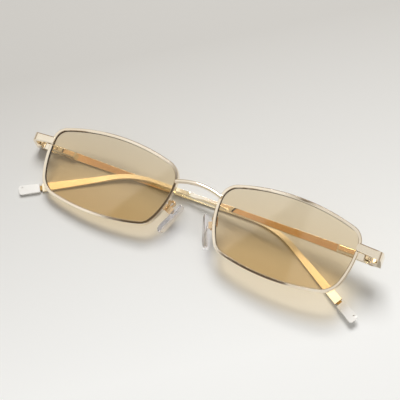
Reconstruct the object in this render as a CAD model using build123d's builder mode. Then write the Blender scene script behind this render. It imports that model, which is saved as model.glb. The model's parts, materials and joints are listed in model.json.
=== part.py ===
from build123d import *
from math import asin, cos, degrees, radians, sin, tan
import os

# The glasses are drawn as they are worn: X runs across the front, Y is up and Z comes
# out of the front of the lenses, with zero at the middle between the two lens centres.
# The right-hand pieces are drawn here, folded, and mirrored to the left.
# At the end the whole frame is laid down the way it lies on a table. Millimetres.

# Lenses and the rims round them
lens_width = 53.0
lens_height = 30.4
lens_gap = 18.4
base_radius = 400.0
lens_thickness = 1.6
lens_seat = 0.45
lens_bevel = 0.3
rim_width = 1.2
rim_depth = 2.3
rim_bevel = 0.22
rim_slit = 0.3

# Corners of the rim's centre line, as shares of the lens width and height
inner_top_share = (-0.4866, 0.3658)
outer_top_share = (0.4892, 0.3488)
outer_bottom_share = (0.4281, -0.4039)
inner_bottom_share = (-0.4007, -0.3966)

# How far each side bows out, as a share of the lens height
top_bow_share = 0.1424
outer_bow_share = 0.0610
bottom_bow_share = 0.0996
inner_bow_share = 0.0825

# Radii of the four corners
inner_top_radius = 6.6
outer_top_radius = 5.4
outer_bottom_radius = 8.6
inner_bottom_radius = 6.4

# Bridge: a round wire that arches from rim to rim
bridge_wire = 1.6
bridge_end_height = 6.55
bridge_arch = 1.55
bridge_inset = 0.15
bridge_forward = 0.35
bridge_bulge = 0.4

# Endpiece: a flat bar that turns back at the corner and carries the hinge
end_reach = 8.8
bar_thickness = 1.45
bar_overlap = 0.1
bar_front = 0.55
tongue_reach = 0.6
tongue_back = 0.1
tongue_rounding = 0.8
bar_bevel = 0.35
bar_top = 7.35
bar_bottom = 4.6
corner_top = 6.85
corner_bottom = 3.75
leg_top = 6.3
leg_bottom = 2.1
corner_radius = 2.6

# Closing barrels of the rim, drawn together by a screw
lock_radius = 1.05
lock_reach = 2.2
lock_bottom = 1.9
lock_top = 6.7
lock_screw = 0.9
lock_head = 1.5
lock_head_depth = 0.55
slit_height = 4.3

# Hinge: the pin leans back with the temples
lean = 8.0
pin_inset = 3.5
hinge_height = 4.4
knuckle_radius = 1.25
slider_height = 1.4
knuckle_gap = 0.05
pin_diameter = 1.0
pin_clearance = 0.03
pin_head = 1.7
pin_head_depth = 0.5
pin_tip_inset = 0.3
leaf_back = 0.55
leaf_front = 3.0
stem_relief = 0.1
leg_end = 1.0
temple_gap = 0.2
screw_slot = 0.3
slot_depth = 0.25

# Temple: a flat strip, narrow at the bend and wide at both ends
strip_thickness = 1.05
strip_depth = 8.88
strip_height = 3.85
strip_offset = 2.6
hinge_width = 3.28
bend_width = 1.3
tip_width = 3.6
bend_start = 87.8
bend_rise = 1.37
bend_radius = 33.8
bend_angle = 31.6
arm_length = 35.3
inward_radius = 200.0
right_fold = 0.9
left_fold = 4.4

# Sleeve on the end of each temple, over a thin tang of the strip
sleeve_length = 8.0
sleeve_neck = 0.9
sleeve_extra = 0.3
sleeve_corner = 0.9
sleeve_ramp = 4.4
sleeve_thin = 0.35
sleeve_hole = 0.7
sleeve_hole_inset = 1.3
sleeve_hole_offset = 0.9
sleeve_hole_depth = 0.4
tang_width = 1.9
tang_thickness = 0.7
tang_end_wall = 1.6

# Spring box on the inner face of each temple, with the sprung slider in it
housing_front = 3.4
housing_length = 9.8
housing_height = 2.5
housing_thickness = 2.4
housing_wall = 0.4
housing_end_wall = 0.8
housing_rounding = 0.5
stop_length = 1.4
stem_height = 1.1
stem_thickness = 1.0
stem_diameter = 0.85
stem_clearance = 0.05
slide_travel = 1.2
button_size = 1.45
button_length = 0.9
button_back = 1.5
spring_diameter = 1.55
spring_bore = 1.0

# Nose pads, hung in a small box on a bent wire
pad_length = 13.2
pad_width = 6.2
pad_thickness = 1.7
pad_rounding = 0.6
pad_x = 7.3
pad_height = -6.9
pad_depth = 4.6
pad_tilt = 22.0
pad_lean = 4.0
pad_narrow_share = 0.62
box_length = 2.6
box_width = 2.8
box_thickness = 2.4
box_wall = 0.45
box_up = 2.2
pad_gap = 0.35
lug_radius = 0.65
lug_gap = 0.05
pad_screw_diameter = 0.7
arm_wire = 0.95
arm_bend = 0.75
arm_foot_height = -4.6
arm_foot_reach = 1.2
arm_depth = 4.7
arm_rise = 4.3
arm_width = 2.0

overrun = 2.0

lens_x = (lens_gap + lens_width) / 2
outer_x = lens_x + lens_width / 2
inner_x = lens_gap / 2
front_half_width = outer_x + end_reach
half_rim = rim_width / 2
reach = rim_depth * overrun


def place(share):
    """Point of the rim's centre line from its shares of the lens size."""
    return Vector(share[0] * lens_width, share[1] * lens_height)


def side_circle(start, end, bow):
    """Centre and radius of the circle that bows out by that much over a side of the lens."""
    chord = end - start
    outward = Vector(-chord.Y, chord.X).normalized()
    radius = (chord.length**2 / 4 + bow**2) / (2 * bow)
    return (start + end) / 2 + outward * (bow - radius), radius


def corner_centre(corner, first, second, radius):
    """Centre of the corner's circle, which touches both side circles from within."""
    span = second[0] - first[0]
    near = first[1] - radius
    far = second[1] - radius
    along = (span.length**2 + near**2 - far**2) / (2 * span.length)
    across = (near**2 - along**2) ** 0.5
    unit = span.normalized()
    normal = Vector(-unit.Y, unit.X)
    choices = [first[0] + unit * along + normal * across * turn for turn in (1, -1)]
    return min(choices, key=lambda point: (point - corner).length)


def arc(centre, start, end):
    """Short arc between two points round a centre."""
    middle = centre + ((start + end) / 2 - centre).normalized() * (start - centre).length
    ThreePointArc(start, middle, end)


def outline(grow):
    """Outline of one lens, bowed on all four sides, grown or shrunk from the centre line."""
    corners = [
        place(share)
        for share in (inner_top_share, outer_top_share, outer_bottom_share, inner_bottom_share)
    ]
    bow_shares = (top_bow_share, outer_bow_share, bottom_bow_share, inner_bow_share)
    radii = (inner_top_radius, outer_top_radius, outer_bottom_radius, inner_bottom_radius)
    sides = [
        side_circle(corners[i], corners[(i + 1) % 4], bow_shares[i] * lens_height)
        for i in range(4)
    ]
    centres = [corner_centre(corners[i], sides[i - 1], sides[i], radii[i]) for i in range(4)]
    with BuildSketch(Plane.XY) as shape:
        with BuildLine():
            for i in range(4):
                middle, radius = sides[i]
                begins, ends = centres[i], centres[(i + 1) % 4]
                leaves = middle + (begins - middle).normalized() * (radius + grow)
                arrives = middle + (ends - middle).normalized() * (radius + grow)
                next_middle = sides[(i + 1) % 4][0]
                next_radius = sides[(i + 1) % 4][1] + grow
                turns = next_middle + (ends - next_middle).normalized() * next_radius
                arc(middle, leaves, arrives)
                arc(ends, arrives, turns)
        make_face()
    return shape.sketch


def curved_plate(grow, thickness):
    """Plate with the outline of the lens, domed to the base curve."""
    shape = outline(grow)
    ball_centre = Location((lens_x, 0, -base_radius), (90, 0, 0))
    with BuildPart() as plate:
        with BuildSketch(Plane((lens_x, 0, -reach))):
            add(shape)
        extrude(amount=reach + reach)
        with Locations(ball_centre):
            Sphere(base_radius + thickness / 2, mode=Mode.INTERSECT)
            Sphere(base_radius - thickness / 2, mode=Mode.SUBTRACT)
    return plate.part


lens_plate = curved_plate(lens_seat - half_rim, lens_thickness)
rim_plate = curved_plate(half_rim, rim_depth)
lens_opening = outline(-half_rim)

# Lens, with a bevelled edge that sits in the groove of the rim
with BuildPart() as lens:
    add(lens_plate)
    chamfer(lens.edges().filter_by(Axis.Z, reverse=True), lens_bevel)

# Bridge, a round wire along an arc that also bows forward a little
bridge_half_span = inner_x - bridge_inset
bridge_start = Vector(-bridge_half_span, bridge_end_height, bridge_forward)
bridge_end = Vector(bridge_half_span, bridge_end_height, bridge_forward)
bridge_crown = Vector(0, bridge_end_height + bridge_arch, bridge_forward + bridge_bulge)
with BuildPart() as bridge:
    with BuildLine() as bridge_path:
        ThreePointArc(bridge_start, bridge_crown, bridge_end)
    with BuildSketch(Plane(bridge_start, z_dir=bridge_path.line % 0)):
        Circle(bridge_wire / 2)
    sweep()
    for end in (bridge_start, bridge_end):
        with Locations(end):
            Sphere(bridge_wire / 2)

# Hinge frame: its Z is the pin, its X points outward and its Y goes back from the front
pin_x = front_half_width - pin_inset
back = Vector(0, -sin(radians(lean)), -cos(radians(lean)))
pin_point = Vector(pin_x, strip_height, -strip_depth) - back * strip_offset
pin_axis = Vector(0, cos(radians(lean)), -sin(radians(lean)))
hinge = Plane(pin_point, x_dir=(1, 0, 0), z_dir=pin_axis)

# Endpiece: the shape from above, cut to its shape from the front and from the side
bar_start = outer_x - bar_overlap
tongue_start = outer_x - tongue_reach
leg_inner = front_half_width - bar_thickness
leg_base = hinge.from_local_coords((0, leg_end, 0))
leg_top_z = leg_base.Z - (leg_top - leg_base.Y) * sin(radians(lean)) / cos(radians(lean))
leg_bottom_z = leg_base.Z - (leg_bottom - leg_base.Y) * sin(radians(lean)) / cos(radians(lean))
bar_back = bar_front - bar_thickness
with BuildPart() as corner_bar:
    with BuildSketch(Plane.XZ):
        with BuildLine():
            FilletPolyline(
                (tongue_start, bar_front),
                (front_half_width, bar_front),
                (front_half_width, leg_top_z - overrun),
                radius=corner_radius,
            )
            Line((front_half_width, leg_top_z - overrun), (leg_inner, leg_top_z - overrun))
            FilletPolyline(
                (leg_inner, leg_top_z - overrun),
                (leg_inner, bar_back),
                (bar_start, bar_back),
                radius=corner_radius - bar_thickness,
            )
            Polyline(
                (bar_start, bar_back),
                (bar_start, tongue_back),
                (tongue_start, tongue_back),
                (tongue_start, bar_front),
            )
        make_face()
    extrude(amount=-(bar_top + overrun), both=True)
    with BuildSketch(Plane.XY) as bar_view:
        with BuildLine():
            Polyline(
                (tongue_start, bar_bottom),
                (tongue_start, bar_top),
                (front_half_width, corner_top),
                (front_half_width, 0),
                (leg_inner, 0),
                (leg_inner, corner_bottom),
                close=True,
            )
        make_face()
        fillet(bar_view.vertices().group_by(Axis.X)[0], tongue_rounding)
    extrude(amount=strip_depth + overrun, both=True, mode=Mode.INTERSECT)
    with BuildSketch(Plane.ZY):
        with BuildLine():
            Polyline(
                (bar_front + overrun, corner_bottom),
                (bar_front + overrun, bar_top + overrun),
                (bar_back, bar_top + overrun),
                (bar_back, corner_top),
                (leg_top_z, leg_top),
                (leg_bottom_z, leg_bottom),
                (bar_back, corner_bottom),
                close=True,
            )
        make_face()
    extrude(amount=-(front_half_width + overrun), mode=Mode.INTERSECT)

# Bevels along the upper and lower edges of the bar's front
top_run = Vector(front_half_width - tongue_start, corner_top - bar_top)
bottom_run = Vector(leg_inner - tongue_start, corner_bottom - bar_bottom)
top_out = Vector(-top_run.Y, top_run.X).normalized()
bottom_out = Vector(bottom_run.Y, -bottom_run.X).normalized()
top_edge = Vector(tongue_start, bar_top, bar_front) - top_out * bar_bevel
bottom_edge = Vector(tongue_start, bar_bottom, bar_front) - bottom_out * bar_bevel
with BuildPart() as endpiece:
    add(corner_bar.part)
    for edge, out in ((top_edge, top_out), (bottom_edge, bottom_out)):
        split(bisect_by=Plane(edge, z_dir=out + Vector(0, 0, 1)), keep=Keep.BOTTOM)

# Rim: a grooved ring, split at its outer side and notched where bridge and endpiece sit
with BuildPart() as rim:
    add(rim_plate)
    with BuildSketch(Plane((lens_x, 0, -reach))):
        add(lens_opening)
    extrude(amount=reach + reach, mode=Mode.SUBTRACT)
    chamfer(rim.faces().sort_by(Axis.Z)[-1].edges(), rim_bevel)
    add(lens.part, mode=Mode.SUBTRACT)
    add(bridge.part, mode=Mode.SUBTRACT)
    add(endpiece.part, mode=Mode.SUBTRACT)
    with Locations((outer_x, slit_height, 0)):
        Box(rim_width + overrun, rim_slit, rim_depth * 2, mode=Mode.SUBTRACT)

# Closing barrels on the rim's outer side, one above and one below its split
lock_x = outer_x + lock_reach
lock_z = bar_back - lock_radius
split_low = slit_height - rim_slit / 2
split_high = slit_height + rim_slit / 2
lock_spans = {"upper": (split_high, lock_top), "lower": (lock_bottom, split_low)}
locks = {}
for level, (low, high) in lock_spans.items():
    with BuildPart() as lock:
        with BuildSketch(Plane.XZ.offset(-low)):
            with Locations((lock_x, lock_z)):
                Circle(lock_radius)
                Rectangle(lock_reach + rim_width, lock_radius, align=(Align.MAX, Align.MIN))
        extrude(amount=low - high)
        with BuildSketch(Plane.XZ.offset(-low)):
            with Locations((lock_x, lock_z)):
                Circle(lock_screw / 2)
        extrude(amount=low - high, mode=Mode.SUBTRACT)
        add(rim_plate, mode=Mode.SUBTRACT)
        add(endpiece.part, mode=Mode.SUBTRACT)
        if level == "lower":
            with BuildSketch(Plane.XZ.offset(-low)):
                with Locations((lock_x, lock_z)):
                    Circle(lock_head / 2)
            extrude(amount=-lock_head_depth, mode=Mode.SUBTRACT)
    locks[level] = lock

with BuildPart() as rim_screw:
    with BuildSketch(Plane.XZ.offset(-lock_bottom)):
        with Locations((lock_x, lock_z)):
            Circle(lock_head / 2)
    extrude(amount=-lock_head_depth)
    with BuildSketch(Plane.XZ.offset(-lock_bottom)):
        with Locations((lock_x, lock_z)):
            Circle(lock_screw / 2)
    extrude(amount=lock_bottom - lock_top)
    with Locations((lock_x, lock_bottom, lock_z)):
        Box(lock_head + overrun, slot_depth * 2, screw_slot, mode=Mode.SUBTRACT)

# Front leaf: a block on the inner face of the leg, with two knuckles round the pin
half_hinge = hinge_height / 2
half_slider = slider_height / 2
leaf_reach = pin_inset - bar_thickness
housing_middle = strip_offset - (strip_thickness + housing_thickness) / 2
with BuildPart() as front_leaf:
    with BuildSketch(hinge.offset(-half_hinge)):
        Circle(knuckle_radius)
        with Locations((0, leaf_back)):
            Rectangle(leaf_reach, leaf_front + leaf_back, align=(Align.MIN, Align.MAX))
    extrude(amount=hinge_height)
    with BuildSketch(hinge.offset(-half_slider - knuckle_gap)):
        Circle(knuckle_radius + knuckle_gap)
        with Locations((0, overrun)):
            Rectangle(
                knuckle_radius + overrun,
                knuckle_radius + overrun * 2,
                align=(Align.MAX, Align.MAX),
            )
        Rectangle(
            housing_middle + stem_thickness / 2 + stem_relief,
            leaf_back + overrun,
            align=(Align.MIN, Align.MIN),
        )
    extrude(amount=slider_height + knuckle_gap * 2, mode=Mode.SUBTRACT)
    with BuildSketch(hinge.offset(-half_hinge)):
        Circle(pin_diameter / 2)
    extrude(amount=hinge_height, mode=Mode.SUBTRACT)
    with BuildSketch(hinge.offset(-half_hinge)):
        Circle(pin_head / 2)
    extrude(amount=pin_head_depth, mode=Mode.SUBTRACT)

with BuildPart() as hinge_screw:
    with BuildSketch(hinge.offset(-half_hinge)):
        Circle(pin_head / 2)
    extrude(amount=pin_head_depth)
    with BuildSketch(hinge.offset(-half_hinge)):
        Circle(pin_diameter / 2)
    extrude(amount=hinge_height - pin_tip_inset)
    with BuildSketch(hinge.offset(-half_hinge)):
        Rectangle(pin_head + overrun, screw_slot)
    extrude(amount=slot_depth, mode=Mode.SUBTRACT)

# Where the temple lies when folded: its length runs inward from the pin.
# Seen from the side the strip lies in its own plane, and seen from above in another.
inward = Vector(-1, 0, 0)
side_view = Plane(pin_point + back * strip_offset, x_dir=inward, z_dir=back)
top_view = Plane(pin_point, x_dir=inward, z_dir=pin_axis * -1)

# Centre line of the strip: straight from the hinge, an arc down, and straight to the tip
strip_start = leg_end + temple_gap
rise_angle = degrees(asin(bend_rise / bend_start))
bend_centre = Vector(bend_start, bend_rise) + Vector(0, -bend_radius).rotate(Axis.Z, rise_angle)
arm_direction = Vector(1, 0).rotate(Axis.Z, rise_angle - bend_angle)
arm_start = bend_centre + Vector(0, bend_radius).rotate(Axis.Z, rise_angle - bend_angle)
tip_end = arm_start + arm_direction * arm_length
arm_tilt = Location(tip_end, (0, 0, rise_angle - bend_angle))
arm_width = bend_width + (tip_width - bend_width) / 3


def bend_point(share, side, width):
    """Point on one edge of the bend, from its start at 0 to its end at 1."""
    radius = bend_radius + side * width / 2
    return bend_centre + Vector(0, radius).rotate(Axis.Z, rise_angle - bend_angle * share)


def strip_edge(side):
    """Upper or lower edge of the strip as lines and an arc."""
    tip_corner = tip_end + Vector(0, side * tip_width / 2).rotate(Axis.Z, rise_angle - bend_angle)
    bend_middle = (bend_width + arm_width) / 2
    Line((strip_start, side * hinge_width / 2), bend_point(0, side, bend_width))
    ThreePointArc(
        bend_point(0, side, bend_width),
        bend_point(1 / 2, side, bend_middle),
        bend_point(1, side, arm_width),
    )
    Line(bend_point(1, side, arm_width), tip_corner)
    return tip_corner


def curve_point(run, lift):
    """Point along the strip seen from above, lifted off its middle."""
    turn = degrees(run / inward_radius)
    centre = Vector(bend_start, strip_offset - inward_radius)
    return centre + Vector(0, inward_radius + lift).rotate(Axis.Z, -turn)


def seen_from_above(thickness):
    """Sketch of the strip from above, straight to the bend and then curving inward."""
    run = arm_length + bend_radius
    outer_line = strip_offset + thickness / 2
    inner_line = strip_offset - thickness / 2
    with BuildSketch(Plane.XY) as view:
        with BuildLine():
            Line((strip_start, inner_line), (strip_start, outer_line))
            Line((strip_start, outer_line), (bend_start, outer_line))
            ThreePointArc(
                (bend_start, outer_line),
                curve_point(run / 2, thickness / 2),
                curve_point(run, thickness / 2),
            )
            Line(curve_point(run, thickness / 2), curve_point(run, -thickness / 2))
            ThreePointArc(
                curve_point(run, -thickness / 2),
                curve_point(run / 2, -thickness / 2),
                (bend_start, inner_line),
            )
            Line((bend_start, inner_line), (strip_start, inner_line))
        make_face()
    return view.sketch


def blank(thickness):
    """The whole strip with its sleeve, as one bar of even thickness."""
    view = seen_from_above(thickness)
    with BuildPart() as bar:
        with BuildSketch(side_view):
            with BuildLine():
                upper = strip_edge(1)
                lower = strip_edge(-1)
                Line((strip_start, hinge_width / 2), (strip_start, -hinge_width / 2))
                Line(upper, lower)
            make_face()
        extrude(amount=strip_offset * 4, both=True)
        with BuildSketch(top_view):
            add(view)
        extrude(amount=bend_radius * 2, both=True, mode=Mode.INTERSECT)
    return bar.part


def arm_zone(start, end, width, corner=0):
    """Block over part of the arm, between two distances from its tip."""
    with BuildPart() as zone:
        with BuildSketch(side_view) as block:
            with Locations(arm_tilt):
                with Locations((-end, 0)):
                    Rectangle(start - end, width, align=(Align.MAX, Align.CENTER))
            if corner:
                along = Axis((0, 0, 0), arm_direction)
                fillet(block.sketch_local.vertices().sort_by(along)[-2:], corner)
        extrude(amount=strip_offset * 4, both=True)
    return zone.part


def tang():
    """Thin tongue of the strip inside the sleeve."""
    stretch = arm_zone(sleeve_length + sleeve_neck, tang_end_wall, tang_width)
    view = seen_from_above(tang_thickness)
    with BuildPart() as tongue:
        add(stretch)
        with BuildSketch(top_view):
            add(view)
        extrude(amount=bend_radius * 2, both=True, mode=Mode.INTERSECT)
    return tongue.part


# Directions at the tip of the strip: along it, out of its inner face, and across it
tip_turn = asin((tip_end.X - bend_start) / inward_radius)
tip_depth = strip_offset + inward_radius * (cos(tip_turn) - 1)
tip_point = pin_point + inward * tip_end.X + pin_axis * tip_end.Y + back * tip_depth
lengthwise = inward + pin_axis * (arm_direction.Y / arm_direction.X) - back * tan(tip_turn)
lengthwise = lengthwise.normalized()
facing = inward * -sin(tip_turn) - back * cos(tip_turn)
crosswise = lengthwise.cross(facing)

# The sleeve gets thinner from here to its end, and has a small hole near one corner
sleeve_half = (strip_thickness + sleeve_extra) / 2
ramp_start = tip_point - lengthwise * sleeve_ramp + facing * sleeve_half
ramp = Plane(ramp_start, z_dir=facing * sleeve_ramp + lengthwise * sleeve_thin)
hole_point = tip_point - lengthwise * sleeve_hole_inset + crosswise * sleeve_hole_offset
hole_view = Plane(hole_point + facing * (sleeve_half - sleeve_thin - sleeve_hole_depth), z_dir=facing)

strip_blank = blank(strip_thickness)
sleeve_blank = blank(strip_thickness + sleeve_extra)
beyond_strip = arm_zone(sleeve_length + sleeve_neck, -overrun, tip_width * 3)
sleeve_zone = arm_zone(sleeve_length, 0, tip_width, sleeve_corner)
tongue = tang()
with BuildPart() as temple:
    add(strip_blank)
    add(beyond_strip, mode=Mode.SUBTRACT)
    add(tongue)

with BuildPart() as temple_tip:
    add(sleeve_blank)
    add(sleeve_zone, mode=Mode.INTERSECT)
    add(tongue, mode=Mode.SUBTRACT)
    split(bisect_by=ramp, keep=Keep.BOTTOM)
    with BuildSketch(hole_view):
        Circle(sleeve_hole / 2)
    extrude(amount=sleeve_thin + overrun, mode=Mode.SUBTRACT)

# Spring box on the strip's inner face, open at the end towards the hinge
cavity_height = housing_height - housing_wall * 2
cavity_thickness = housing_thickness - housing_wall * 2
housing_back = housing_front + housing_length
cavity_back = housing_back - housing_end_wall
with BuildPart() as spring_housing:
    with BuildSketch(top_view):
        with Locations((housing_front, housing_middle)):
            Rectangle(housing_length, housing_thickness, align=(Align.MIN, Align.CENTER))
    extrude(amount=housing_height / 2, both=True)
    inner_face = spring_housing.faces().filter_by(Axis(pin_point, back)).sort_by(Axis(pin_point, back))[0]
    fillet(inner_face.edges(), housing_rounding)
    with BuildSketch(top_view):
        with Locations((housing_front, housing_middle)):
            Rectangle(
                housing_length - housing_end_wall,
                cavity_thickness,
                align=(Align.MIN, Align.CENTER),
            )
    extrude(amount=cavity_height / 2, both=True, mode=Mode.SUBTRACT)

# Guide in the mouth of the box, with the opening that the slider's stem runs in
with BuildPart() as spring_stop:
    with BuildSketch(top_view):
        with Locations((housing_front, housing_middle)):
            Rectangle(stop_length, cavity_thickness, align=(Align.MIN, Align.CENTER))
    extrude(amount=cavity_height / 2, both=True)
    with BuildSketch(top_view):
        with Locations((housing_front, housing_middle)):
            Rectangle(stop_length, stem_thickness + stem_clearance * 2, align=(Align.MIN, Align.CENTER))
    extrude(amount=stem_height / 2 + stem_clearance, both=True, mode=Mode.SUBTRACT)

# Slider: the middle knuckle, a flat stem, a round rod for the spring and a button
button_end = cavity_back - button_back
button_start = button_end - button_length
rod_start = housing_front + stop_length
stem_view = Plane(
    pin_point + inward * rod_start + back * housing_middle, x_dir=pin_axis, z_dir=inward
)
with BuildPart() as hinge_slider:
    with BuildSketch(hinge.offset(-half_slider)):
        Circle(knuckle_radius)
    extrude(amount=slider_height)
    with BuildSketch(top_view):
        with Locations((0, housing_middle)):
            Rectangle(rod_start, stem_thickness, align=(Align.MIN, Align.CENTER))
    extrude(amount=stem_height / 2, both=True)
    with BuildSketch(hinge.offset(-half_slider)):
        Circle(pin_diameter / 2 + pin_clearance)
    extrude(amount=slider_height, mode=Mode.SUBTRACT)
    with BuildSketch(stem_view):
        Circle(stem_diameter / 2)
    extrude(amount=button_start - rod_start)
    with BuildSketch(stem_view.offset(button_start - rod_start)):
        Rectangle(button_size, button_size)
    extrude(amount=button_length)

# Spring, at its length when fully pressed, so that the slider keeps its whole travel
spring_length = button_start - rod_start - slide_travel - stem_clearance
with BuildPart() as hinge_spring:
    with BuildSketch(stem_view.offset(button_start - rod_start)):
        Circle(spring_diameter / 2)
        Circle(spring_bore / 2, mode=Mode.SUBTRACT)
    extrude(amount=-spring_length)

# Nose pad frame: its X runs up the pad, its Y towards the nose and its Z out to the front
pad_up = Vector(-sin(radians(pad_tilt)), cos(radians(pad_tilt)), 0).rotate(Axis.X, -pad_lean)
pad_front = Vector(0, 0, 1) - pad_up * pad_up.Z
pad = Plane((pad_x, pad_height, -pad_depth), x_dir=pad_up, z_dir=pad_front)
box_centre = pad.from_local_coords((box_up, -(pad_thickness + box_thickness) / 2 - pad_gap, 0))
box = Plane(box_centre, x_dir=pad_up, z_dir=pad_front)
pad_face = Plane(pad.origin, x_dir=pad_up, z_dir=pad.y_dir)

# Pad: a rounded lozenge, narrower at its upper end, with a lug that enters the box
narrow = pad_width * pad_narrow_share / 2
wide = pad_width / 2
lug_width = box_width - (box_wall + lug_gap) * 2
with BuildPart() as nose_pad:
    with BuildSketch(pad_face.offset(-pad_thickness / 2)):
        with BuildLine():
            lower = ThreePointArc(
                (wide - pad_length / 2, wide), (-pad_length / 2, 0), (wide - pad_length / 2, -wide)
            )
            upper = ThreePointArc(
                (pad_length / 2 - narrow, narrow), (pad_length / 2, 0), (pad_length / 2 - narrow, -narrow)
            )
            Line(lower @ 0, upper @ 0)
            Line(lower @ 1, upper @ 1)
        make_face()
    extrude(amount=pad_thickness)
    fillet(nose_pad.edges().filter_by(lambda edge: edge.length > pad_thickness + overrun), pad_rounding)
    with BuildSketch(box.offset(-lug_width / 2)):
        Circle(lug_radius)
        Rectangle(
            lug_radius * 2,
            (pad_thickness + box_thickness) / 2 + pad_gap,
            align=(Align.CENTER, Align.MIN),
        )
    extrude(amount=lug_width)
    with BuildSketch(box.offset(-box_width / 2)):
        Circle(pad_screw_diameter / 2 + pin_clearance)
    extrude(amount=box_width, mode=Mode.SUBTRACT)

# Box: a small channel with two side walls that hold the pad's screw
with BuildPart() as pad_box:
    with BuildSketch(box.offset(-box_width / 2)):
        Rectangle(box_length, box_thickness)
    extrude(amount=box_width)
    with BuildSketch(box.offset(box_wall - box_width / 2)):
        with Locations((0, box_wall)):
            Rectangle(box_length + overrun, box_thickness)
    extrude(amount=box_width - box_wall * 2, mode=Mode.SUBTRACT)
    with BuildSketch(box.offset(-box_width / 2)):
        Circle(pad_screw_diameter / 2)
    extrude(amount=box_width, mode=Mode.SUBTRACT)

# Screw through the box and the pad's lug
with BuildPart() as pad_screw:
    with BuildSketch(box.offset(-box_width / 2)):
        Circle(pad_screw_diameter / 2)
    extrude(amount=box_width)

# Arm: a bent wire from the back of the rim, over in a loop and down into the box
box_top = box.from_local_coords((box_length / 2, -box_thickness / 4, 0))
foot_x = inner_x + arm_foot_reach
arm_top = arm_foot_height + arm_rise
arm_points = (
    (foot_x, arm_foot_height, -rim_depth * 3 / 4),
    (foot_x, arm_foot_height + arm_wire, -arm_depth),
    (foot_x - arm_wire, arm_top, -arm_depth),
    (foot_x - arm_wire - arm_width, arm_top - arm_wire / 2, -arm_depth),
    box_top,
)
with BuildPart() as pad_arm:
    with BuildLine() as arm_path:
        FilletPolyline(*arm_points, radius=arm_bend)
    with BuildSketch(Plane(arm_points[0], z_dir=arm_path.line % 0)):
        Circle(arm_wire / 2)
    sweep()
    add(rim.part, mode=Mode.SUBTRACT)
    add(pad_box.part, mode=Mode.SUBTRACT)

# Every right-hand piece, mirrored to the left. The left temple lies over the right one,
# so it stays open by a small angle.
drawn = {
    "rim": rim,
    "lens": lens,
    "endpiece": endpiece,
    "rim_lock_upper": locks["upper"],
    "rim_lock_lower": locks["lower"],
    "rim_screw": rim_screw,
    "front_leaf": front_leaf,
    "hinge_screw": hinge_screw,
    "hinge_slider": hinge_slider,
    "hinge_spring": hinge_spring,
    "spring_housing": spring_housing,
    "spring_stop": spring_stop,
    "temple": temple,
    "temple_tip": temple_tip,
    "pad_arm": pad_arm,
    "pad_box": pad_box,
    "pad_screw": pad_screw,
    "nose_pad": nose_pad,
}
folding = (
    "hinge_slider", "hinge_spring", "spring_housing", "spring_stop", "temple", "temple_tip"
)
right_pin = Axis(pin_point, pin_axis)
left_pin = Axis((-pin_point.X, pin_point.Y, pin_point.Z), pin_axis)
pieces = {"bridge": bridge}
for name, piece in drawn.items():
    with BuildPart() as twin:
        mirror(piece.part, about=Plane.YZ)
    if name in folding:
        piece.part = piece.part.rotate(right_pin, -right_fold)
        twin.part = twin.part.rotate(left_pin, left_fold)
    pieces[f"right_{name}"] = piece
    pieces[f"left_{name}"] = twin

# The folded glasses rest on three points: the tip of the right temple, and the hinge end
# and the bend of the left one. The table is the plane through them.
edge_steps = 20


def lowest(name, up, half):
    """Lowest point of one piece, on the left or right half of the glasses."""
    edges = pieces[name].part.edges()
    points = [edge @ (step / edge_steps) for edge in edges for step in range(edge_steps + 1)]
    return min((p for p in points if p.X * half > 0), key=lambda point: point.dot(up))


up = Vector(0, sin(radians(lean * 2)), cos(radians(lean * 2)))
for attempt in range(5):
    tip_rest = lowest("right_temple_tip", up, -1)
    hinge_rest = lowest("left_temple", up, -1)
    bend_rest = lowest("left_temple", up, 1)
    up = (bend_rest - hinge_rest).cross(hinge_rest - tip_rest).normalized()
    if up.Z < 0:
        up = up * -1
across = Vector(1, 0, 0) - up * up.X

# The glasses are laid on the table, centred over the middle of their outline
table = Plane(hinge_rest, x_dir=across, z_dir=up)
span = Compound([table.to_local_coords(piece.part) for piece in pieces.values()]).bounding_box()
middle = Vector((span.min.X + span.max.X) / 2, (span.min.Y + span.max.Y) / 2, span.min.Z)
table = Plane(table.from_local_coords(middle), x_dir=across, z_dir=up)

os.makedirs("parts", exist_ok=True)
for name, piece in pieces.items():
    piece.part = table.to_local_coords(piece.part)
    piece.part.label = name
    export_step(piece.part, f"parts/{name}.step")
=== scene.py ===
import json
from math import radians

import bmesh
import bpy
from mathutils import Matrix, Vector


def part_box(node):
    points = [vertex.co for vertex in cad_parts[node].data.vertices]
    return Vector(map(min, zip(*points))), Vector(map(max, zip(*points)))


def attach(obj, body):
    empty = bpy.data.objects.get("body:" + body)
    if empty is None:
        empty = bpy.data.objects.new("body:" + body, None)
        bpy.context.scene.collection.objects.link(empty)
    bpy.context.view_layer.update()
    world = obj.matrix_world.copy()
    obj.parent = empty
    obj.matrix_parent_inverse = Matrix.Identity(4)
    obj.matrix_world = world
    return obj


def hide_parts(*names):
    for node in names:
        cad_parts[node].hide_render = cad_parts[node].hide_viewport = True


# Narrow rectangular sunglasses, lying folded on a pale table. Metres, in the frame of the
# solids: X across the front, Y up the front towards the brow, Z up from the table.
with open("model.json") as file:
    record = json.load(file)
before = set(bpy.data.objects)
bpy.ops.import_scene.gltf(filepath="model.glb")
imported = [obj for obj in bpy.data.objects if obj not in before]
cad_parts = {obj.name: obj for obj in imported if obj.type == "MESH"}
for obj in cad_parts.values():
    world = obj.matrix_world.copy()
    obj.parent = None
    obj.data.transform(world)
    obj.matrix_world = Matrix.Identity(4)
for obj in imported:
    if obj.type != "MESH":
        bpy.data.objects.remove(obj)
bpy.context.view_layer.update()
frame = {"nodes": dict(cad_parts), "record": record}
MM = 0.001
SIDES = ("right", "left")
# Direction out of the front of the lenses
FRONT = Vector((-0.0696, -0.2791, 0.9577))

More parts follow.
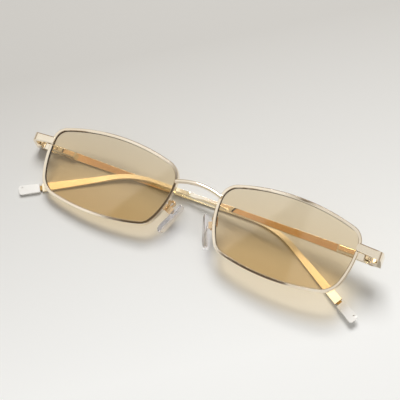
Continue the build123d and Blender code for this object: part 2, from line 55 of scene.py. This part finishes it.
# Noise in the finishes: its scales, and the places of its two tones
DRIFT_SCALE = 120.0
CLOUD_SCALE = 900.0
GRAIN_SCALE = 4000.0
SILICONE_SCALE = 500.0
NOISE_DETAIL = 3.0
NOISE_STOPS = (0.3, 0.7)
# Gloss of the metal, as a share of its roughness up and down, and its fine grain
GLOSS_DRIFT = 0.25
GRAIN_STRENGTH = 0.05
GRAIN_DEPTH = 0.02 * MM

# Temple strips: their two tones, their roughness, what a satin stretch adds to it, and
# where along X that stretch starts and is full
STRIP_TONES = ((0.88, 0.80, 0.63), (0.93, 0.87, 0.74))
STRIP_ROUGHNESS = 0.05
SATIN_ROUGHNESS = 0.56
SATIN_REACH = {"right": (-6 * MM, -14 * MM), "left": (16 * MM, 24 * MM)}

# Lenses: tints at the top and the bottom, heights between which they change, and the
# power of the tint that each of the two faces gives to the light that goes through
LENS_TOP = (0.82, 0.72, 0.55)
LENS_BOTTOM = (0.76, 0.60, 0.37)
LENS_HEIGHTS = (-14 * MM, 16 * MM)
LENS_IOR = 1.5
FACE_POWER = 0.43

# Nose pads: two tones, and the tint of the light that goes through
PAD_TONES = ((0.90, 0.89, 0.92), (0.96, 0.95, 0.98))
PAD_PASSING = (0.86, 0.86, 0.88, 1.0)
PAD_ROUGHNESS = 0.2
PAD_IOR = 1.18


# Nodes


def noise(tree, scale):
    """Noise over the piece's own coordinates."""
    place = tree.nodes.new("ShaderNodeTexCoord")
    node = tree.nodes.new("ShaderNodeTexNoise")
    node.inputs["Scale"].default_value = scale
    node.inputs["Detail"].default_value = NOISE_DETAIL
    tree.links.new(place.outputs["Object"], node.inputs["Vector"])
    return node.outputs["Fac"]


def coordinate(tree, axis):
    """One of the piece's own coordinates."""
    place = tree.nodes.new("ShaderNodeTexCoord")
    split = tree.nodes.new("ShaderNodeSeparateXYZ")
    tree.links.new(place.outputs["Object"], split.inputs["Vector"])
    return split.outputs[axis]


def two_tones(tree, value, first, last, stops=(0.0, 1.0)):
    """Colour of a value on a ramp from one tone to another."""
    node = tree.nodes.new("ShaderNodeValToRGB")
    for element, stop, tone in zip(node.color_ramp.elements, stops, (first, last)):
        element.position = stop
        element.color = (*tone, 1.0)
    tree.links.new(value, node.inputs["Fac"])
    return node.outputs["Color"]


def in_range(tree, value, start, end, low=0.0, high=1.0, shape="LINEAR"):
    """Value that goes from low to high while another goes from start to end."""
    node = tree.nodes.new("ShaderNodeMapRange")
    node.interpolation_type = shape
    node.inputs["From Min"].default_value = start
    node.inputs["From Max"].default_value = end
    node.inputs["To Min"].default_value = low
    node.inputs["To Max"].default_value = high
    tree.links.new(value, node.inputs["Value"])
    return node.outputs["Result"]


def combined(tree, operation, first, second):
    """Two values put together by a math node."""
    node = tree.nodes.new("ShaderNodeMath")
    node.operation = operation
    tree.links.new(first, node.inputs[0])
    tree.links.new(second, node.inputs[1])
    return node.outputs["Value"]


def reach(tree, place, direction):
    """How far a place or a direction goes along a fixed direction."""
    node = tree.nodes.new("ShaderNodeVectorMath")
    node.operation = "DOT_PRODUCT"
    node.inputs[1].default_value = direction
    tree.links.new(place, node.inputs[0])
    return node.outputs["Value"]


# Materials


def new_material(name):
    """Empty node material, with its tree and its Principled shader."""
    material = bpy.data.materials.new(name)
    material.use_nodes = True
    return material, material.node_tree, material.node_tree.nodes["Principled BSDF"]


def metal_material(name, dark, light, roughness, satin=None, metallic=1.0):
    """Plated metal: a slow drift of colour, cloudy gloss and a fine grain. With a satin
    stretch, (start, end) along X, it gets duller there."""
    material, tree, shader = new_material(name)
    tone = two_tones(tree, noise(tree, DRIFT_SCALE), dark, light, NOISE_STOPS)
    glossy = roughness * (1 - GLOSS_DRIFT)
    dull = roughness * (1 + GLOSS_DRIFT)
    gloss = in_range(tree, noise(tree, CLOUD_SCALE), 0.0, 1.0, glossy, dull)
    if satin:
        added = in_range(tree, coordinate(tree, "X"), *satin, 0.0, SATIN_ROUGHNESS)
        gloss = combined(tree, "ADD", gloss, added)
    grain = tree.nodes.new("ShaderNodeBump")
    grain.inputs["Strength"].default_value = GRAIN_STRENGTH
    grain.inputs["Distance"].default_value = GRAIN_DEPTH
    tree.links.new(noise(tree, GRAIN_SCALE), grain.inputs["Height"])
    tree.links.new(tone, shader.inputs["Base Color"])
    tree.links.new(gloss, shader.inputs["Roughness"])
    tree.links.new(grain.outputs["Normal"], shader.inputs["Normal"])
    shader.inputs["Metallic"].default_value = metallic
    return material


def clear_material(name, roughness, ior):
    """Clear material. Light on its way to the table goes straight through it, by the
    Transparent shader that comes last in the result."""
    material, tree, shader = new_material(name)
    shader.inputs["Roughness"].default_value = roughness
    shader.inputs["IOR"].default_value = ior
    shader.inputs["Transmission Weight"].default_value = 1.0
    passing = tree.nodes.new("ShaderNodeBsdfTransparent")
    ray = tree.nodes.new("ShaderNodeLightPath").outputs
    either = combined(tree, "MAXIMUM", ray["Is Shadow Ray"], ray["Is Diffuse Ray"])
    blend = tree.nodes.new("ShaderNodeMixShader")
    tree.links.new(either, blend.inputs["Fac"])
    tree.links.new(shader.outputs["BSDF"], blend.inputs[1])
    tree.links.new(passing.outputs["BSDF"], blend.inputs[2])
    tree.links.new(blend.outputs["Shader"], tree.nodes["Material Output"].inputs["Surface"])
    return material, tree, shader, passing


def lens_material():
    """Thin tea-coloured glass, paler at the top."""
    material, tree, shader, passing = clear_material("tea_lens", 0.0, LENS_IOR)
    height = in_range(tree, coordinate(tree, "Y"), *LENS_HEIGHTS)
    body = two_tones(tree, height, LENS_BOTTOM, LENS_TOP)
    faces = [[channel**FACE_POWER for channel in tint] for tint in (LENS_BOTTOM, LENS_TOP)]
    tree.links.new(body, shader.inputs["Base Color"])
    tree.links.new(two_tones(tree, height, *faces), passing.inputs["Color"])
    return material


def pad_material():
    """Clear silicone with a faintly grey body."""
    material, tree, shader, passing = clear_material("pad_silicone", PAD_ROUGHNESS, PAD_IOR)
    tone = two_tones(tree, noise(tree, SILICONE_SCALE), *PAD_TONES, NOISE_STOPS)
    tree.links.new(tone, shader.inputs["Base Color"])
    passing.inputs["Color"].default_value = PAD_PASSING
    return material


champagne = metal_material("champagne_gold", (0.89, 0.78, 0.62), (0.96, 0.87, 0.72), 0.08)
box_gold = metal_material("box_gold", *STRIP_TONES, 0.12)
strip_gold = {
    side: metal_material(
        f"{side}_strip_gold", *STRIP_TONES, STRIP_ROUGHNESS, satin=SATIN_REACH[side]
    )
    for side in SIDES
}
# Dark brown of painted shade, for the rims' inner walls and the walls beside the temple necks
groove_shade_brown = metal_material("groove_shade_brown", (0.10, 0.055, 0.025), (0.17, 0.10, 0.05), 0.35)
screw_gold = metal_material("screw_gold", (0.60, 0.44, 0.26), (0.74, 0.58, 0.36), 0.3)
# Deeper gold of painted shade on the recessed neck of each temple
neck_shade_gold = metal_material("neck_shade_gold", (0.36, 0.22, 0.07), (0.48, 0.31, 0.12), 0.3)
pad_mount_gold = metal_material("pad_mount_gold", (0.66, 0.49, 0.31), (0.78, 0.60, 0.40), 0.2)
hinge_steel = metal_material("hinge_steel", (0.42, 0.40, 0.37), (0.56, 0.54, 0.50), 0.35)
pearl_sleeve = metal_material(
    "pearl_sleeve", (0.93, 0.92, 0.89), (0.96, 0.95, 0.92), 0.3, metallic=0.15
)
FINISHES = {
    "gold": champagne,
    "lens": lens_material(),
    "pad": pad_material(),
    "sleeve": pearl_sleeve,
    "screw": screw_gold,
    "spring": hinge_steel,
    "inner_steel": hinge_steel,
}
SIDE_FINISHES = {
    "spring_housing": box_gold,
    "pad_arm": pad_mount_gold,
    "pad_box": pad_mount_gold,
}


# Pieces


def dress(piece, material):
    """Puts one material on every slot of a piece."""
    piece.data.materials.clear()
    piece.data.materials.append(material)


def new_piece(name, form, material):
    """Object with the mesh of a bmesh, which is freed."""
    mesh = bpy.data.meshes.new(name)
    form.to_mesh(mesh)
    form.free()
    piece = bpy.data.objects.new(name, mesh)
    bpy.context.scene.collection.objects.link(piece)
    dress(piece, material)
    return piece


# Every solid takes the finish of its slot in the record, apart from a few on each side
SLOTS = {entry["node"]: entry["material_slot"] for entry in frame["record"]["subparts"]}
BODY_OF = {
    node: body for body, held in frame["record"]["behaviour"]["bodies"].items() for node in held
}
for name, solid in frame["nodes"].items():
    dress(solid, FINISHES[SLOTS[name]])
for side in SIDES:
    for kind, finish in SIDE_FINISHES.items():
        dress(frame["nodes"][f"{side}_{kind}"], finish)

# Softening: points merged, faces taken as one flat face, edges rounded, and edges that
# stay sharp in the shading
MERGE_REACH = 0.002 * MM
FLAT_TURN = radians(1.0)
ROUNDED_TURN = radians(30.0)
SHARP_TURN = radians(40.0)
FACE_WEIGHT = 100


def softened(node, width, finish, steps=2):
    """Copy of a solid with its sharp edges rounded, in the solid's place."""
    form = bmesh.new()
    form.from_mesh(frame["nodes"][node].data)
    bmesh.ops.remove_doubles(form, verts=form.verts, dist=MERGE_REACH)
    bmesh.ops.dissolve_limit(
        form, angle_limit=FLAT_TURN, verts=form.verts, edges=form.edges, delimit=set()
    )
    bmesh.ops.bevel(
        form,
        geom=[e for e in form.edges if e.is_manifold and e.calc_face_angle(0.0) > ROUNDED_TURN],
        offset=width,
        offset_type="OFFSET",
        segments=steps,
        profile=0.5,
        affect="EDGES",
        clamp_overlap=True,
        material=-1,
    )
    piece = new_piece(f"{node}_softened", form, finish)
    piece.data.shade_smooth()
    piece.data.set_sharp_from_angle(angle=SHARP_TURN)
    even = piece.modifiers.new("even_shading", "WEIGHTED_NORMAL")
    even.keep_sharp = True
    even.weight = FACE_WEIGHT
    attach(piece, BODY_OF[node])
    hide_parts(node)
    return piece


# For painted shade: how squarely a face of the groove looks forward at most, and a wall of the
# neck along the strip at least; how deep the sleeve's mouth is, and how long the neck before it
GROOVE_FACING = 0.5
WALL_FACING = 0.6
MOUTH_DEPTH = 0.3 * MM
NECK_LENGTH = 1.1 * MM


def paint_groove_shade(rim, lens):
    """Paints shade on the rim's inner walls, which face the lens: they get the dark brown of
    painted shade.
    """
    rim.data.materials.append(groove_shade_brown)
    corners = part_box(lens)
    middle = (Vector(corners[0]) + Vector(corners[1])) / 2
    for face in rim.data.polygons:
        inward = middle - face.center
        inward -= FRONT * inward.dot(FRONT)
        if abs(face.normal.dot(FRONT)) < GROOVE_FACING and face.normal.dot(inward) > 0:
            face.material_index = 1


def paint_neck_shade(temple, sleeve):
    """Painted shade on the recessed neck before the sleeve: deeper gold on the neck, dark brown
    on the walls beside it.
    """
    ends = sorted((v.co for v in sleeve.data.vertices), key=lambda spot: spot.x)
    along = (ends[-1] - ends[0]).normalized()
    total = Vector([sum(v.co[axis] for v in temple.data.vertices) for axis in range(3)])
    if (ends[0] - total / len(temple.data.vertices)).dot(along) < 0:
        along.negate()
    mouth = min(v.co.dot(along) for v in sleeve.data.vertices)
    for piece, finishes in ((temple, (neck_shade_gold, groove_shade_brown)), (sleeve, (groove_shade_brown,))):
        for finish in finishes:
            piece.data.materials.append(finish)
        for face in piece.data.polygons:
            spots = [piece.data.vertices[v].co.dot(along) - mouth for v in face.vertices]
            wall = abs(face.normal.dot(along)) > WALL_FACING
            if piece is sleeve:
                face.material_index = 1 if wall and max(spots) < MOUTH_DEPTH else 0
            elif min(spots) > -NECK_LENGTH:
                face.material_index = 2 if wall else 1


# How far each kind of piece is rounded
TEMPLE_ROUND = 0.16 * MM
SLEEVE_ROUND = 0.25 * MM
ENDPIECE_ROUND = 0.2 * MM
LEAF_ROUND = 0.1 * MM
RIM_ROUND = 0.5 * MM
RIM_STEPS = 5

for side in SIDES:
    temple = softened(f"{side}_temple", TEMPLE_ROUND, strip_gold[side])
    # painted shade on the temple's neck and in the sleeve's mouth
    paint_neck_shade(temple, softened(f"{side}_temple_tip", SLEEVE_ROUND, pearl_sleeve))
    softened(f"{side}_endpiece", ENDPIECE_ROUND, champagne)
    softened(f"{side}_front_leaf", LEAF_ROUND, champagne)
    rim = softened(f"{side}_rim", RIM_ROUND, champagne, steps=RIM_STEPS)
    # painted shade on the rim's inner walls
    paint_groove_shade(rim, f"{side}_lens")

# The table: its pale tone near the camera and its darker tone far off, which is painted shade,
# the direction towards the near side, and the distances along it over which the painted shade
# comes in
TABLE_NEAR = (0.94, 0.95, 0.945)
TABLE_FAR_SHADE = (0.575, 0.564, 0.540)
TABLE_TOWARDS = (0.59, -0.81, 0.0)
TABLE_SHADE_CHANGE = (-80 * MM, 55 * MM)
TABLE_HALF_SIZE = 3.0
TABLE_ROUGHNESS = 0.6


def table_top():
    """Pale matt table under the glasses, with painted shade darkening it towards the far side.
    """
    material, tree, shader = new_material("table_white")
    place = tree.nodes.new("ShaderNodeTexCoord").outputs["Object"]
    near = in_range(tree, reach(tree, place, TABLE_TOWARDS), *TABLE_SHADE_CHANGE)
    tree.links.new(two_tones(tree, near, TABLE_FAR_SHADE, TABLE_NEAR), shader.inputs["Base Color"])
    shader.inputs["Roughness"].default_value = TABLE_ROUGHNESS
    form = bmesh.new()
    bmesh.ops.create_grid(form, x_segments=1, y_segments=1, size=TABLE_HALF_SIZE)
    new_piece("table_top", form, material)


table_top()

# Light: a soft window lamp high on the far side, turned to the glasses, in a pale room
LAMP_PLACE = Vector((-0.24, 0.70, 1.30))
LAMP_SIZE = 0.7
LAMP_POWER = 16.0
LAMP_COLOUR = (1.0, 0.995, 0.985)

window = bpy.data.lights.new("window", "AREA")
window.shape = "SQUARE"
window.size = LAMP_SIZE
window.energy = LAMP_POWER
window.color = LAMP_COLOUR
window_lamp = bpy.data.objects.new("window", window)
window_lamp.location = LAMP_PLACE
window_lamp.rotation_euler = (-LAMP_PLACE).to_track_quat("-Z", "Y").to_euler()
bpy.context.scene.collection.objects.link(window_lamp)

# The room: a pale wall where both of the first two planes have it in front of them, a warm
# wooden board round one direction, and a dim corner where all three of the last planes
# have it in front of them. Each changes into the rest over a short stretch.
WALL_EDGES = ((-0.763, 0.620, -0.183), (-0.913, -0.259, -0.316))
CORNER_EDGES = ((0.763, -0.620, 0.183), (-0.971, 0.0, -0.240), (0.0, 0.932, 0.364))
BOARD_EDGES = ((-0.278, 0.110, 0.954),)
PLANE_CHANGE = (-0.012, 0.012)
BOARD_CHANGE = (0.990, 0.996)
WALL_END_CHANGE = (-0.62, -0.36)
HORIZON_CHANGE = (0.1, 0.7)
ROOM_DIM = (0.81, 0.80, 0.775)
ROOM_PALE = (1.0, 1.0, 1.0)
UNTINTED = (1.0, 1.0, 1.0)
BOARD_BROWN = (1.0, 0.70, 0.47)
CORNER_DARK = (0.12, 0.09, 0.06)
WALL_END = (0.88, 0.86, 0.82)
HORIZON = (0.34, 0.27, 0.21)
# What the camera sees past the table, and the room's strength in metal and glass and in
# the light that falls on matt pieces
BACKDROP = (0.80, 0.80, 0.79)
SHINE = 1.0
FILL = 0.5


def ahead(tree, direction, edges):
    """How far a direction lies in front of every one of some planes."""
    least, *others = [reach(tree, direction, edge) for edge in edges]
    for other in others:
        least = combined(tree, "MINIMUM", least, other)
    return least


def blended(tree, value, change, near, far):
    """Soft change between two colours, or colour outputs, over a range of a value."""
    mix = tree.nodes.new("ShaderNodeMix")
    mix.data_type = "RGBA"
    tree.links.new(in_range(tree, value, *change, shape="SMOOTHSTEP"), mix.inputs["Factor"])
    for socket, colour in ((mix.inputs["A"], near), (mix.inputs["B"], far)):
        if isinstance(colour, tuple):
            socket.default_value = (*colour, 1.0)
        else:
            tree.links.new(colour, socket)
    return mix.outputs["Result"]


def tinted(tree, colour, tint):
    """One colour times another."""
    times = tree.nodes.new("ShaderNodeVectorMath")
    times.operation = "MULTIPLY"
    tree.links.new(colour, times.inputs[0])
    tree.links.new(tint, times.inputs[1])
    return times.outputs["Vector"]


def room():
    """World with the pale wall, the board and the corner, darker down at the horizon."""
    world = bpy.data.worlds.new("room")
    world.use_nodes = True
    tree = world.node_tree
    direction = tree.nodes.new("ShaderNodeTexCoord").outputs["Generated"]
    split = tree.nodes.new("ShaderNodeSeparateXYZ")
    tree.links.new(direction, split.inputs["Vector"])
    wall = ahead(tree, direction, WALL_EDGES)
    board = ahead(tree, direction, BOARD_EDGES)
    corner = ahead(tree, direction, CORNER_EDGES)
    tone = blended(tree, wall, PLANE_CHANGE, ROOM_DIM, ROOM_PALE)
    for tint in (
        blended(tree, split.outputs["X"], WALL_END_CHANGE, WALL_END, UNTINTED),
        blended(tree, board, BOARD_CHANGE, UNTINTED, BOARD_BROWN),
        blended(tree, corner, PLANE_CHANGE, UNTINTED, CORNER_DARK),
    ):
        tone = tinted(tree, tone, tint)
    tone = blended(tree, split.outputs["Z"], HORIZON_CHANGE, HORIZON, tone)
    ray = tree.nodes.new("ShaderNodeLightPath").outputs
    tone = blended(tree, ray["Is Camera Ray"], (0.0, 1.0), tone, BACKDROP)
    strength = in_range(tree, ray["Is Diffuse Ray"], 0.0, 1.0, SHINE, FILL)
    background = tree.nodes["Background"]
    tree.links.new(strength, background.inputs["Strength"])
    tree.links.new(tone, background.inputs["Color"])
    bpy.context.scene.world = world


room()

# Camera, from a fit of the front, the bridge and the temples to the photograph
CAMERA_PLACE = (85.813 * MM, -123.979 * MM, 325.602 * MM)
CAMERA_TURN = (radians(25.6885), radians(4.0456), radians(24.6990))
CAMERA_LENS = 85.5
CAMERA_SENSOR = 36.0
CAMERA_SHIFT = (-0.0068, 0.0036)
CAMERA_NEAREST = 0.01

eye = bpy.data.cameras.new("camera")
eye.lens = CAMERA_LENS
eye.sensor_width = CAMERA_SENSOR
eye.shift_x, eye.shift_y = CAMERA_SHIFT
eye.clip_start = CAMERA_NEAREST
camera = bpy.data.objects.new("camera", eye)
camera.location = CAMERA_PLACE
camera.rotation_euler = CAMERA_TURN
bpy.context.scene.collection.objects.link(camera)
bpy.context.scene.camera = camera
bpy.context.scene.view_settings.view_transform = "Standard"
